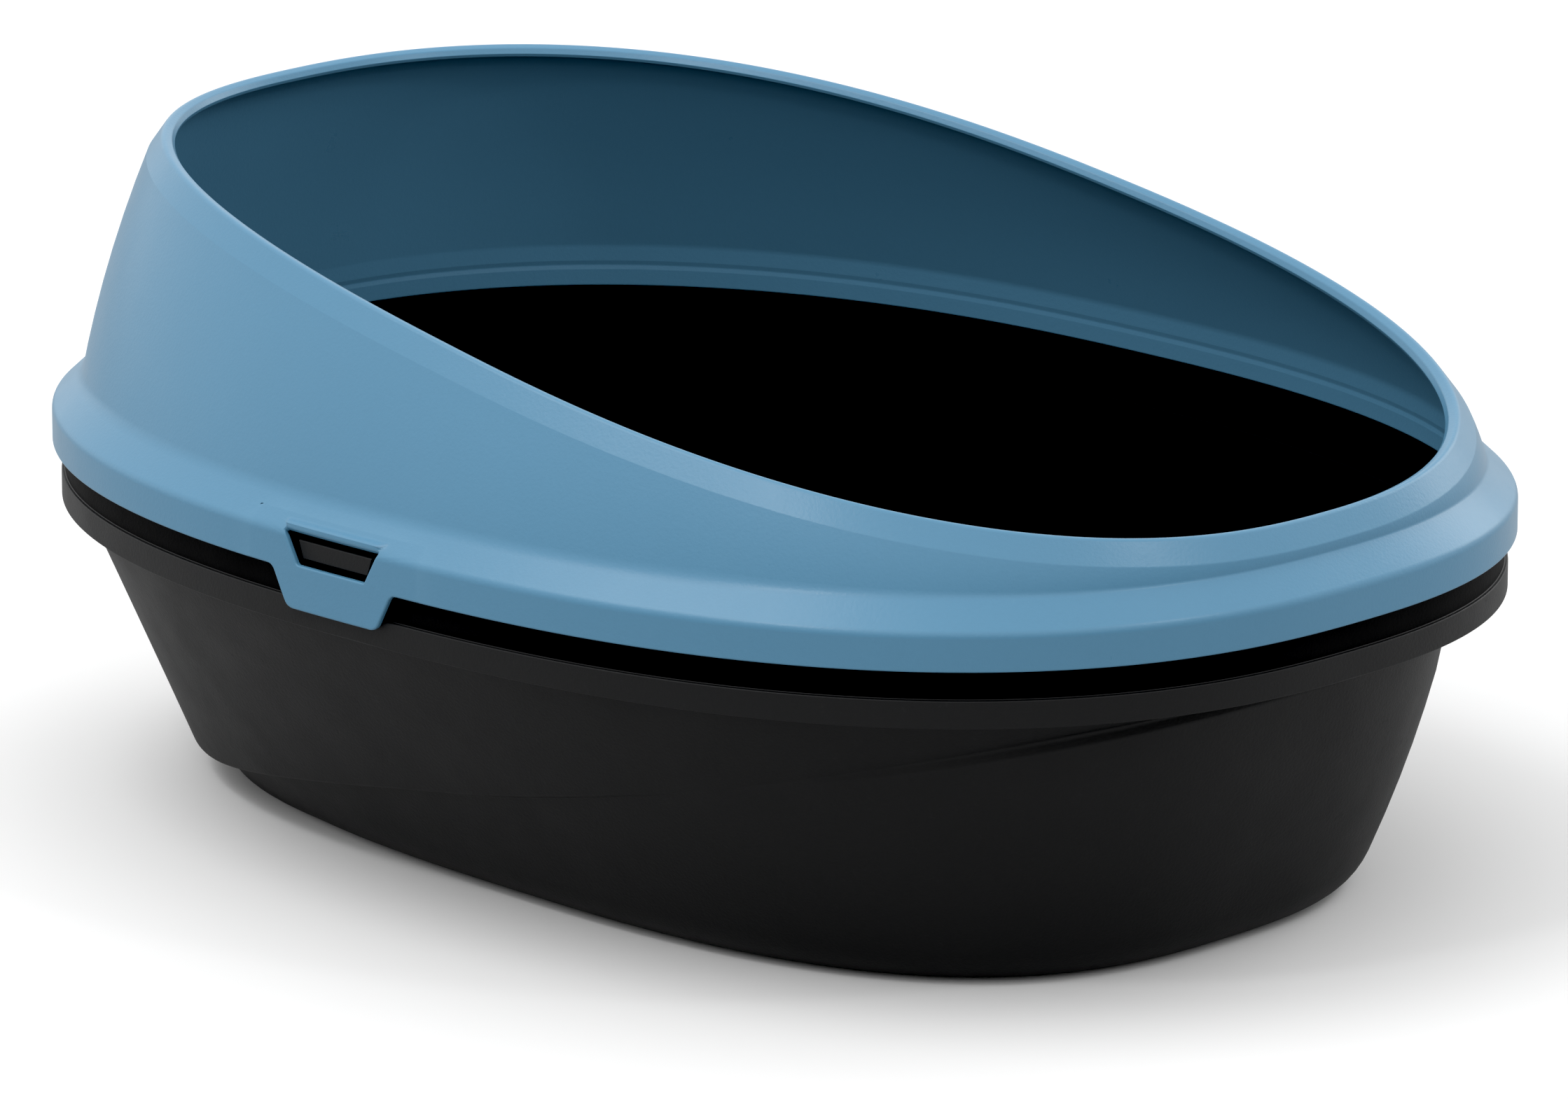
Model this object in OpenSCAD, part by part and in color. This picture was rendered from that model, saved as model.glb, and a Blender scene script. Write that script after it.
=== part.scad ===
// Open cat litter box: an oval pan with a clip-on hood rim and two flexing clip tabs.
// Front is -Y (low side of the hood), rear is +Y, the floor is z = 0.

/* [Skirt and overall size] */
// half of the overall length, at the hood's skirt
skirt_half_length = 330; // [270:1:400]
// half of the overall width, at the hood's skirt
skirt_half_width = 246.5; // [200:0.5:300]
// how square the oval is: 2 is an ellipse
skirt_squareness = 2.39; // [2:0.01:3]
// height of the skirt's bottom edge
skirt_z = 150.4; // [120:0.1:200]
// height of the upright part of the skirt
skirt_height = 11.1; // [8:0.1:16]

/* [Hood] */
// thickness of the hood's wall
hood_wall = 2.6; // [2:0.1:3.2]
// how far the shoulder above the skirt steps in
shoulder_in = 12.4; // [10:0.1:18]
// how much the shoulder rises above the upright skirt
shoulder_rise = 16.5; // [12:0.1:22]
// depth of the apron that hangs inside the pan's rim
apron_drop = 17.2; // [10:0.1:20]
// gap between the shoulder's inner corner and the apron's outer face
apron_step = 0.4; // [0:0.1:1]

/* [Hood lip] */
// how far the lip's inner edge is inside the skirt at the ends
lip_in_length = 32.7; // [24:0.1:60]
// how far the lip's inner edge is inside the skirt at the sides
lip_in_width = 48.5; // [30:0.5:80]
// how square the opening is
lip_squareness = 2.36; // [2:0.01:3]
// how much narrower the opening is at the rear than at its middle
lip_taper = 0.074; // [0:0.001:0.12]
// how far the opening sits toward the front
lip_forward = 7.7; // [0:0.1:20]
// rise of the lip's inner edge over the skirt's bottom edge, at the middle
lip_rise = 93.9; // [88:0.1:150]
// rise of the lip from its middle to the rear and fall to the front
lip_tilt = 50.2; // [30:0.1:52]
// how much the lip's straight line sags toward both ends
lip_sag = 6.1; // [0:0.1:12]
// how much the lip's slope eases off toward both ends
lip_ease = 6.7; // [0:0.1:10]
// how much the lip dips at its very ends
lip_dip = 4.8; // [0:0.1:8]
// width of the rolled lip
lip_width = 12.2; // [8:0.1:14]
// drop of the rolled lip on its outside
lip_drop = 7.6; // [6:0.1:10]
// rise of the rolled lip's crown over its inner edge
lip_crown = 2.2; // [1:0.1:3]

/* [Pan] */
// thickness of the pan's wall
pan_wall = 2.6; // [2:0.1:3.2]
// thickness of the pan's floor
floor_thick = 3; // [2:0.1:5]
// gap between a clip or the skirt and the pan's flange band behind it
flange_gap = 0.9; // [0.5:0.1:2]
// how far the pan's raised rim is set in behind its flange band
rim_step = 1.5; // [1:0.1:3]
// gap between the rim's top and the underside of the hood's shoulder
rim_gap = 0.5; // [0.3:0.1:2]
// height of the dark band between the skirt and the flange band
band_gap = 12.7; // [8:0.1:20]
// height of the flange band
flange_height = 11.7; // [8:0.1:14]
// how far the body is set in behind the flange band
body_step = 7.5; // [6:0.1:12]
// how far the floor's outline is inside the skirt at the ends
foot_in_length = 71.2; // [40:0.1:100]
// how far the floor's outline is inside the skirt at the sides
foot_in_width = 89.5; // [50:0.5:110]
// how square the floor is
foot_squareness = 2.72; // [2:0.01:3]
// how much wider the floor is at the front than at its middle
foot_taper = 0.055; // [0:0.001:0.1]
// radius of the rounding under the body, where the crease leaves room for it
foot_round = 16; // [8:0.5:20]

/* [Body crease] */
// height of the sloping crease at the middle of the pan
crease_mid_z = 51; // [40:0.5:60]
// gap between the flange and the crease at the front
crease_front_gap = 7.2; // [5:0.1:20]
// lowest height of the crease, at the rear
crease_low_z = 12; // [11:0.5:16]
// how far the upper body stands out over the crease at the middle
crease_step = 4; // [2:0.1:8]
// how much that step grows per millimetre toward the rear
crease_step_slope = 0.028; // [0.01:0.001:0.04]
// how far the upper body is set in under the flange at the middle
body_recess = 4.6; // [0:0.1:5]
// how far the front of the body is set in at the flange's height
front_recess = 13.4; // [8:0.1:14]
// how far the front of the body swells out again toward the floor
front_swell = 39.8; // [24:0.1:42]
// how much of that swelling is lost toward the floor
front_tuck = 18.5; // [14:0.1:20]

/* [Clips] */
// how far the clips' middle is behind the middle of the box
clip_y = 12.3; // [-20:0.5:30]
// half of the clip's width where it leaves the skirt
clip_root_half = 35; // [30:0.5:45]
// half of the clip's width at its bottom edge
clip_tip_half = 26.5; // [22:0.5:28]
// how far the clip hangs below the skirt
clip_drop = 16.6; // [12:0.1:20]
// radius of the corners and roots of the clip
clip_round = 7; // [4:0.1:8]
// half of the clip's width at its top, beside the window
clip_top_half = 33; // [31:0.5:36]
// half of the window's width at its top
window_top_half = 28.2; // [20:0.2:29]
// half of the window's width at its bottom
window_low_half = 20; // [14:0.5:22]
// height of the window
window_height = 14.4; // [12:0.1:15]
// height of the window's lower edge above the skirt's bottom edge
window_rise = 2.5; // [2:0.1:4]
// height of the clip's bar over the window
clip_bar = 3; // [2:0.1:3]
// gap between a clip and the hood around it
clip_gap = 0.4; // [0.3:0.05:0.6]
// gap between a clip and the pan's lug behind it
lug_gap = 0.5; // [0.3:0.05:1]
// half of the lug's width
lug_half = 16; // [10:0.5:17]

/* [Hidden] */
stations = 96;
hood_colour = [0.47, 0.64, 0.76];
pan_colour = [0.13, 0.13, 0.13];
skirt_top_z = skirt_z + skirt_height;
shoulder_z = skirt_top_z + shoulder_rise;
apron_inset = shoulder_in + apron_step;
lip_mid_z = skirt_z + lip_rise;
flange_inset = hood_wall + flange_gap;
rim_inset = flange_inset + rim_step;
body_inset = flange_inset + body_step;
rim_top_z = skirt_top_z + 0.37 * shoulder_rise - rim_gap;
flange_top_z = skirt_z - band_gap;
flange_z = flange_top_z - flange_height;
ledge_z = flange_top_z + 1;
window_z = skirt_z + window_rise;
window_top_z = window_z + window_height;
clip_top_z = window_top_z + clip_bar;
clip_low_z = skirt_z - clip_drop;
clip_depth = (rim_inset + pan_wall + apron_inset) / 2;
slab_steps = 8;
arc_steps = 5;
foot_back = 3.15;
foot_half_length = skirt_half_length - foot_in_length;
body_grow = (foot_in_length - body_inset) / flange_z;
crease_front_z = flange_z - crease_front_gap;
crease_slope = (crease_front_z - crease_mid_z) / (foot_half_length + body_grow * crease_front_z);

// signed power, for the superellipse
function spow(v, p) = sign(v) * pow(abs(v), p);

// share of the half length at an angle, -1 at the front and 1 at the rear
function share(angle, squareness) = spow(sin(angle), 2 / squareness);

// a point of an oval: size is [half length, half width, squareness, taper, shift along Y]
function oval(angle, size) =
    let (s = share(angle, size[2]), c = spow(cos(angle), 2 / size[2]))
    [size[1] * c * (1 - size[3] * s), size[0] * s + size[4]];

// sizes of the ovals, each with an extra inset or outset
function skirt_size(inset) =
    [skirt_half_length - inset, skirt_half_width - inset, skirt_squareness, 0, 0];
function lip_size(out) =
    let (l = skirt_half_length - lip_in_length + out, w = skirt_half_width - lip_in_width + out)
    [l, w, lip_squareness, lip_taper, -lip_forward];
function foot_size(out) =
    let (w = skirt_half_width - foot_in_width + out)
    [foot_half_length + out, w, foot_squareness, foot_taper, foot_back];

function skirt_row(angle, inset, z) = concat(oval(angle, skirt_size(inset)), z);

// height of the lip's inner edge
function lip_z(angle) =
    let (s = share(angle, lip_squareness))
    lip_mid_z + lip_tilt * s - lip_sag * pow(s, 2) - lip_ease * pow(s, 3) - lip_dip * pow(s, 4);

function lip_row(angle, out, rise) = concat(oval(angle, lip_size(out)), lip_z(angle) + rise);

// a row of the hood's wall between the shoulder and the lip, bulging a little outward
function wall_row(angle, part, inset, out, drop) =
    let (
        low = skirt_row(angle, inset, shoulder_z + 2.5),
        high = lip_row(angle, out, -drop),
        mid = low * (1 - part) + high * part,
        bulge = 4 * part * (1 - part) * 0.03 * (high[2] - low[2]),
        flat = [mid[0], mid[1], 0]
    )
    mid + flat / norm(flat) * bulge;

// the hood's section at one angle, from the skirt's outer edge over the lip and back inside
function hood_section(angle, low_z) =
    let (
        rise = shoulder_rise,
        in = shoulder_in,
        wall = hood_wall
    )
    [
        skirt_row(angle, 0, low_z),
        skirt_row(angle, 0, skirt_top_z),
        skirt_row(angle, 0.06 * in, skirt_top_z + 0.21 * rise),
        skirt_row(angle, 0.24 * in, skirt_top_z + 0.43 * rise),
        skirt_row(angle, 0.53 * in, skirt_top_z + 0.65 * rise),
        skirt_row(angle, 0.84 * in, skirt_top_z + 0.86 * rise),
        skirt_row(angle, 0.99 * in, shoulder_z),
        skirt_row(angle, in + 0.3, shoulder_z + 2.5),
        wall_row(angle, 0.25, in + 0.3, lip_width, lip_drop),
        wall_row(angle, 0.5, in + 0.3, lip_width, lip_drop),
        wall_row(angle, 0.75, in + 0.3, lip_width, lip_drop),
        lip_row(angle, lip_width, -lip_drop),
        lip_row(angle, 0.96 * lip_width, -0.5 * lip_drop),
        lip_row(angle, 0.88 * lip_width, 0.3 * lip_crown),
        lip_row(angle, 0.74 * lip_width, 0.95 * lip_crown),
        lip_row(angle, 0.62 * lip_width, lip_crown),
        lip_row(angle, 0.12 * lip_width, 0.45 * lip_crown),
        lip_row(angle, 0, 0),
        lip_row(angle, 0.3, -1.6),
        lip_row(angle, 0.3 * lip_width, -1.4),
        lip_row(angle, lip_width - 1.5 * wall, -0.5 * lip_drop),
        lip_row(angle, lip_width - wall, -lip_drop - 0.6),
        wall_row(angle, 0.5, in + 0.3 + wall, lip_width - wall, lip_drop + 0.6),
        skirt_row(angle, in + 0.3 + wall, shoulder_z + 1),
        skirt_row(angle, apron_inset + wall, shoulder_z - 4),
        skirt_row(angle, apron_inset + wall, shoulder_z - apron_drop),
        skirt_row(angle, apron_inset, shoulder_z - apron_drop),
        skirt_row(angle, apron_inset, shoulder_z - 4),
        skirt_row(angle, 0.84 * in, shoulder_z - 5.2),
        skirt_row(angle, wall + 2.4, skirt_top_z + 0.37 * rise),
        skirt_row(angle, wall + 0.6, skirt_top_z + 0.18 * rise),
        skirt_row(angle, wall, skirt_top_z - 0.5),
        skirt_row(angle, wall, low_z)
    ];

// height of the body's crease, following a sloping plane and levelling out at the rear
function crease_z(angle) =
    let (
        s = share(angle, skirt_squareness),
        flat_z = crease_mid_z - crease_slope * foot_half_length * s,
        plane = flat_z / (1 + crease_slope * body_grow * s)
    )
    0.5 * (plane + crease_low_z + sqrt(pow(plane - crease_low_z, 2) + 36));

// how far the lower body stands out from a straight slant; only its front swells
function body_out(angle, z) =
    let (
        part = max(0, (flange_z - z) / flange_z),
        front = (1 - share(angle, skirt_squareness)) / 2
    )
    front * (front_swell * part - front_tuck * part * part - front_recess);

// a row of the body: part 0 is under the flange and 1 is at the floor
function body_row(angle, z, out) =
    let (
        part = max(0, (flange_z - z) / flange_z),
        high = oval(angle, skirt_size(body_inset - out)),
        low = oval(angle, foot_size(out))
    )
    concat(high * (1 - part) + low * part, z);

// how far the upper body stands out over the lower one at the crease
function crease_out(angle) =
    crease_step + crease_step_slope * 0.9 * skirt_half_length * share(angle, skirt_squareness);

// 1 where the upper body overhangs, -1 where the lower body stands proud
function overhang(angle) = max(-1, min(1, crease_out(angle) / 3));

// the pan's section at one angle, from the rim's top down the outside, then up the inside
function pan_section(angle) =
    let (
        edge_z = crease_z(angle),
        top_out = -body_recess * (1 - share(angle, skirt_squareness)),
        under_out = body_out(angle, edge_z),
        low_out = under_out + crease_out(angle),
        round = min(foot_round, 0.62 * edge_z),
        foot_out = body_out(angle, 0),
        mid_z = (flange_z + edge_z) / 2,
        mid_out = (top_out + low_out) / 2,
        wall = pan_wall,
        fold = wall * overhang(angle)
    )
    [
        skirt_row(angle, rim_inset, rim_top_z),
        skirt_row(angle, rim_inset, flange_top_z + 1.7),
        skirt_row(angle, rim_inset - 0.6, flange_top_z + 0.6),
        skirt_row(angle, flange_inset, flange_top_z - 0.8),
        skirt_row(angle, flange_inset, flange_z + 0.6),
        skirt_row(angle, flange_inset + 0.6, flange_z),
        skirt_row(angle, flange_inset + wall, flange_z),
        skirt_row(angle, flange_inset + wall + 0.4, ledge_z - wall),
        body_row(angle, ledge_z - wall, top_out),
        body_row(angle, flange_z, top_out),
        body_row(angle, mid_z, mid_out),
        body_row(angle, edge_z + 1.2, low_out),
        body_row(angle, edge_z + 0.2, low_out - overhang(angle)),
        body_row(angle, edge_z - 0.8, under_out),
        body_row(angle, (edge_z + round) / 2, body_out(angle, (edge_z + round) / 2)),
        body_row(angle, round, body_out(angle, round)),
        body_row(angle, 0.45 * round, foot_out - 0.14 * round),
        body_row(angle, 0.15 * round, foot_out - 0.42 * round),
        body_row(angle, 0, foot_out - 0.9 * round),
        body_row(angle, floor_thick, foot_out - wall - 0.9 * round),
        body_row(angle, floor_thick + 0.15 * round, foot_out - wall - 0.42 * round),
        body_row(angle, floor_thick + 0.45 * round, foot_out - wall - 0.14 * round),
        body_row(angle, floor_thick + 0.62 * round, foot_out - wall - 0.05 * round),
        body_row(angle, edge_z - 0.8 + fold, under_out - wall),
        body_row(angle, edge_z + 1.2 + fold, low_out - wall),
        body_row(angle, mid_z, mid_out - wall),
        body_row(angle, flange_z, top_out - wall),
        body_row(angle, ledge_z, top_out - wall),
        skirt_row(angle, rim_inset + wall, ledge_z + 0.3),
        skirt_row(angle, rim_inset + wall, rim_top_z)
    ];

// triangles of one band between two neighbouring sections
function band(i, j, rows) =
    let (
        n = (i + 1) % stations,
        m = (j + 1) % rows,
        a = i * rows + j,
        b = n * rows + j,
        c = n * rows + m,
        d = i * rows + m
    )
    [[a, d, c], [a, c, b]];

// a closed section carried once around the oval
module swept_ring(sections, rows) {
    points = [for (s = sections) for (p = s) p];
    faces = [for (i = [0 : stations - 1]) for (j = [0 : rows - 1]) each band(i, j, rows)];
    polyhedron(points, faces, convexity = 10);
}

// an open section carried around the oval, closed by a fan under the floor and one over it
module swept_bowl(sections, rows, under_row) {
    rings = [for (s = sections) for (p = s) p];
    under = len(rings);
    over = under + 1;
    skip = under_row;
    sides = [
        for (i = [0 : stations - 1])
            for (j = [0 : rows - 1])
                if (j != skip) each band(i, j, rows)
    ];
    fans = [
        for (i = [0 : stations - 1])
            let (n = (i + 1) % stations)
                each [
                    [under, n * rows + skip, i * rows + skip],
                    [over, i * rows + skip + 1, n * rows + skip + 1]
                ]
    ];
    points = concat(rings, [[0, foot_back, 0], [0, foot_back, floor_thick]]);
    polyhedron(points, concat(sides, fans), convexity = 10);
}

// outward reach of the skirt at a distance along Y
function skirt_reach(y, inset) =
    (skirt_half_width - inset)
    * pow(1 - pow(abs(y) / (skirt_half_length - inset), skirt_squareness), 1 / skirt_squareness);

// a slab that follows the skirt's face on the +X side, between two insets
module skirt_slab(outer, inner, half, low, high) {
    ys = [for (i = [0 : slab_steps]) clip_y - half + 2 * half * i / slab_steps];
    points = [
        for (y = ys)
            each [
                [skirt_reach(y, outer), y, low],
                [skirt_reach(y, outer), y, high],
                [skirt_reach(y, inner), y, high],
                [skirt_reach(y, inner), y, low]
            ]
    ];
    sides = [
        for (i = [0 : slab_steps - 1])
            for (j = [0 : 3])
                let (m = (j + 1) % 4, a = 4 * i + j, b = a + 4, c = 4 * i + 4 + m, d = 4 * i + m)
                    each [[a, c, b], [a, d, c]]
    ];
    last = 4 * slab_steps;
    ends = [[0, 2, 1], [0, 3, 2], [last, last + 1, last + 2], [last, last + 2, last + 3]];
    polyhedron(points, concat(sides, ends), convexity = 4);
}

// an arc of points about a centre, in the plane of the skirt
function arc(centre, radius, from, to) =
    [
        for (i = [0 : arc_steps])
            let (a = from + (to - from) * i / arc_steps)
                centre + radius * [cos(a), sin(a)]
    ];

// right half of the clip's outline, from its top to its tip, grown by an even gap
function clip_half_outline(gap) =
    let (
        low = clip_low_z - gap,
        tip = clip_tip_half + gap,
        root = clip_root_half + gap,
        lean = atan2(root - tip, clip_drop),
        r = clip_round - 1,
        reach = r * tan((90 - lean) / 2)
    )
    concat(
        [
            [clip_top_half + gap, clip_top_z + gap],
            [root + 3, skirt_z + 3],
            [root + 3, skirt_z - 0.6 + (gap > 0 ? 0.2 : 0)],
            [root + 0.6, skirt_z - 1.6]
        ],
        arc([tip - reach, low + r], r, -lean, -90)
    );

// the clip's whole outline, as a flat shape standing in the YZ plane
module clip_outline(gap) {
    half = clip_half_outline(gap);
    count = len(half);
    other = [for (i = [count - 1 : -1 : 0]) [-half[i][0], half[i][1]]];
    polygon(concat(half, other));
}

module window_outline() {
    top = window_top_half;
    low = window_low_half;
    polygon([[top, window_top_z], [low, window_z], [-low, window_z], [-top, window_top_z]]);
}

// stands a flat YZ outline up as a block through the skirt on the +X side
module through_skirt() {
    translate([skirt_half_width - clip_depth, clip_y, 0])
        rotate([90, 0, 90])
            linear_extrude(height = 2 * clip_depth)
                children();
}

// the hood's whole shell, with its skirt reaching down to low_z
module hood_shell(low_z) {
    sections = [for (i = [0 : stations - 1]) hood_section(360 * i / stations, low_z)];
    swept_ring(sections, len(sections[0]));
}

// one clip on the +X side: the part of the skirt and shoulder around its window
module clip_plate() {
    intersection() {
        hood_shell(clip_low_z - 5);
        through_skirt()
            difference() {
                clip_outline(0);
                window_outline();
            }
    }
}

// the lug on the pan's rim behind one window
module pan_lug() {
    skirt_slab(hood_wall + lug_gap, rim_inset + 1, lug_half, window_z + 2, window_top_z - 4);
}

module both_sides() {
    children();
    mirror([1, 0, 0])
        children();
}

module pan() {
    // the section runs down the outside, so it is carried round the other way than the hood's
    sections = [for (i = [0 : stations - 1]) pan_section(-360 * i / stations)];
    color(pan_colour)
        union() {
            swept_bowl(sections, len(sections[0]), 18);
            both_sides()
                pan_lug();
        }
}

module hood() {
    color(hood_colour)
        difference() {
            hood_shell(skirt_z);
            both_sides()
                through_skirt()
                    clip_outline(clip_gap);
        }
}

module clip_right() {
    color(hood_colour)
        clip_plate();
}

module clip_left() {
    color(hood_colour)
        mirror([1, 0, 0])
            clip_plate();
}

pan();
hood();
clip_left();
clip_right();
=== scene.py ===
import math
import bpy
import numpy as np
from mathutils import Matrix, Vector


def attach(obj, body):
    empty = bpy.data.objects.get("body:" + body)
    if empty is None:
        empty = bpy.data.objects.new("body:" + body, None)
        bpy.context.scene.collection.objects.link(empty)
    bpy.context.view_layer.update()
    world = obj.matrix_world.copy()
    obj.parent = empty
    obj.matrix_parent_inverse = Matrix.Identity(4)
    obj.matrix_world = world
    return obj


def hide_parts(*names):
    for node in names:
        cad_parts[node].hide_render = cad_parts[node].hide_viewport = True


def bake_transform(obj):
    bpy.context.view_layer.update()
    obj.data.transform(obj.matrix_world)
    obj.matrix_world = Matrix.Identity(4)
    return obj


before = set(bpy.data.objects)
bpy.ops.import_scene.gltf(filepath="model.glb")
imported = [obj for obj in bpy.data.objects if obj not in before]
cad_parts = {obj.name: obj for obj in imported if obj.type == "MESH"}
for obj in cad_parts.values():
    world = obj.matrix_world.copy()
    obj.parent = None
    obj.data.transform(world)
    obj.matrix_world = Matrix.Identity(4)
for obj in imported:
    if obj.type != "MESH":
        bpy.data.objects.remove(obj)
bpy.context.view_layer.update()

# all lengths below are in millimetres; a piece's vertices are laid in metres
mm = 0.001

# the oval that the rim's skirt and the pan's flange share
oval = {"length": 330, "width": 246.5, "squareness": 2.39}

# the light blue rim, from its skirt over the lip and back down to the apron
rim = {
    "columns": 320,
    "wall": 2.6,
    "skirtBottom": 150.4,
    "skirtCorner": 166.0,    # where the upright skirt meets the sloping shoulder
    "skirtCornerRound": 5,
    "shoulderIn": 12.5,
    "shoulderTop": 178.2,
    "shoulderRound": 12,
    "apronIn": 12.8,
    "apronBottom": 160.8,
    "apronRoot": 174,
    "roofIn": 10.4,          # the roof of the channel that the pan's rim stands in
    "roofHeight": 172.8,
    "grooveHeight": 170.2,   # a faint line around the inside, above the apron's edge
    "lipLength": 297.3,
    "lipWidth": 198,
    "lipSquareness": 2.36,
    "lipTaper": 0.074,
    "lipForward": 7.7,
    "lipHeight": [244.3, 50.2, -6.1, -6.7, -4.8],
    "lipBand": 12.2,
    "lipDrop": 7.6,
    "lipCrest": 2.7,         # the lip slopes up to its crest, then steeply down to the opening
    "lipCrestOut": 5,
    "wallBulge": 0.03,
}

# the two clips, each the part of the skirt round its window
clip = {
    "middle": 12.3,
    "sideReach": 55,         # how far the clip's own sheet reaches to each side
    "topInset": 6.6,         # its top edge, on the straight part of the shoulder
    "rootHalf": 35,
    "tipHalf": 26.5,
    "drop": 16.6,
    "rootRound": 4.5,        # where the tab leaves the skirt, and at the corners of its tip
    "cornerRound": 7,
    "windowTopHalf": 28.2,
    "windowLowHalf": 20,
    "windowLow": 152.9,
    "windowTop": 167.3,
    "windowRound": 1.6,
    "edgeRound": 0.8,
    "browHeight": 2.2,
    "hinge": 169.0,
}


def signedPower(value, power):
    # a power that keeps the sign of the value
    return np.sign(value) * np.abs(value) ** power


def share(turn, squareness):
    # how far along the oval a turn is, from -1 at the front to 1 at the rear
    return signedPower(np.sin(turn), 2 / squareness)


def ovalRow(turn, size, height):
    length, width, squareness, taper, shift = size
    along = share(turn, squareness)
    across = signedPower(np.cos(turn), 2 / squareness)
    return np.stack([width * across * (1 - taper * along), length * along + shift, height + 0 * turn], -1)


def skirtRow(turn, inset, height):
    # a row parallel to the outside of the skirt
    size = (oval["length"] - inset, oval["width"] - inset, oval["squareness"], 0, 0)
    return ovalRow(turn, size, height)


def lipRow(turn, out, rise):
    # a row parallel to the lip's inner edge, which climbs toward the rear
    length, width = rim["lipLength"] + out, rim["lipWidth"] + out
    size = (length, width, rim["lipSquareness"], rim["lipTaper"], -rim["lipForward"])
    along = share(turn, rim["lipSquareness"])
    height = sum(value * along ** power for power, value in enumerate(rim["lipHeight"]))
    return ovalRow(turn, size, height + rise)


def unit(vectors):
    return vectors / np.maximum(np.linalg.norm(vectors, axis=-1, keepdims=True), 1e-9)


def wallRow(turn, part, low, high):
    # a row between two rows of the wall, bulging a little outward
    middle = low * (1 - part) + high * part
    flat = middle * [1, 1, 0]
    bulge = 4 * part * (1 - part) * rim["wallBulge"] * (high[:, 2] - low[:, 2])
    return middle + unit(flat) * bulge[:, None]


def roundCorners(points, radii, steps=5):
    # replaces each corner of the section that has a radius by a short curve
    rows = []
    for index, point in enumerate(points):
        radius = radii[index]
        if not radius or index in (0, len(points) - 1):
            rows.append(point)
            continue
        before, after = points[index - 1] - point, points[index + 1] - point
        turnCos = np.sum(unit(before) * unit(after), -1)
        half = np.arccos(np.clip(turnCos, -1, 1)) / 2
        reach = radius / np.maximum(np.tan(half), 0.05)
        roomBefore = np.linalg.norm(before, axis=-1) * (0.49 if radii[index - 1] else 0.96)
        roomAfter = np.linalg.norm(after, axis=-1) * (0.49 if radii[index + 1] else 0.96)
        reach = np.minimum(reach, np.minimum(roomBefore, roomAfter))[..., None]
        start, end = point + unit(before) * reach, point + unit(after) * reach
        for step in range(steps + 1):
            t = step / steps
            rows.append(start * (1 - t) ** 2 + point * 2 * t * (1 - t) + end * t ** 2)
    return rows


def curveRows(start, corner, end, steps=9):
    # rows of a wide rounding from start to end, pulled toward the corner
    shares = [step / steps for step in range(steps + 1)]
    return [start * (1 - t) ** 2 + corner * 2 * t * (1 - t) + end * t ** 2 for t in shares]


def deselectAll():
    bpy.ops.object.select_all(action="DESELECT")


def selectOnly(piece):
    deselectAll()
    piece.select_set(True)
    bpy.context.view_layer.objects.active = piece


def growTube(name, columns, rowCount):
    # a circle pulled up row by row into a plain tube, one unit per row
    deselectAll()
    bpy.ops.mesh.primitive_circle_add(vertices=columns, radius=1, location=(0, 0, 0))
    piece = bpy.context.object
    piece.name = name
    piece.data.name = name
    bpy.ops.object.mode_set(mode="EDIT")
    for _ in range(rowCount - 1):
        bpy.ops.mesh.extrude_region_move(TRANSFORM_OT_translate={"value": (0, 0, 1)})
    bpy.ops.object.mode_set(mode="OBJECT")
    return piece


def tubePlaces(piece, columns):
    # which row and column each vertex of the plain tube is in
    spots = np.zeros(len(piece.data.vertices) * 3)
    piece.data.vertices.foreach_get("co", spots)
    spots = spots.reshape(-1, 3)
    row = np.rint(spots[:, 2]).astype(int)
    column = np.rint(np.arctan2(spots[:, 1], spots[:, 0]) / (2 * math.pi) * columns).astype(int) % columns
    return row, column


def layRows(piece, rows):
    # moves every vertex of the plain tube to its place in the section
    places = np.stack(rows)
    row, column = tubePlaces(piece, places.shape[1])
    piece.data.vertices.foreach_set("co", (places[row, column] * mm).ravel())
    piece.data.update()
    return row, column


def selectFaces(piece, chosen):
    # selects the faces for which chosen is true, leaving edit mode to do it
    mesh = piece.data
    mesh.vertices.foreach_set("select", np.zeros(len(mesh.vertices), bool))
    mesh.edges.foreach_set("select", np.zeros(len(mesh.edges), bool))
    mesh.polygons.foreach_set("select", chosen)


def editMesh(piece, *steps):
    selectOnly(piece)
    bpy.ops.object.mode_set(mode="EDIT")
    for step in steps:
        step()
    bpy.ops.object.mode_set(mode="OBJECT")


def mergeAndTurnOut():
    bpy.ops.mesh.select_all(action="SELECT")
    bpy.ops.mesh.remove_doubles(threshold=0.000002)
    bpy.ops.mesh.normals_make_consistent(inside=False)


def smoothPiece(piece):
    selectOnly(piece)
    bpy.ops.object.shade_smooth_by_angle(angle=math.radians(36))
    bpy.ops.object.modifier_add(type="WEIGHTED_NORMAL")
    piece.modifiers[-1].weight = 60
    piece.modifiers[-1].keep_sharp = True
    bpy.ops.object.modifier_apply(modifier=piece.modifiers[-1].name)


def turns(columns):
    return np.arange(columns) * 2 * math.pi / columns


def shoulderHeight(inset):
    # height of the straight, sloping part of the shoulder
    return rim["skirtCorner"] + (rim["shoulderTop"] - rim["skirtCorner"]) * inset / rim["shoulderIn"]


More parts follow.
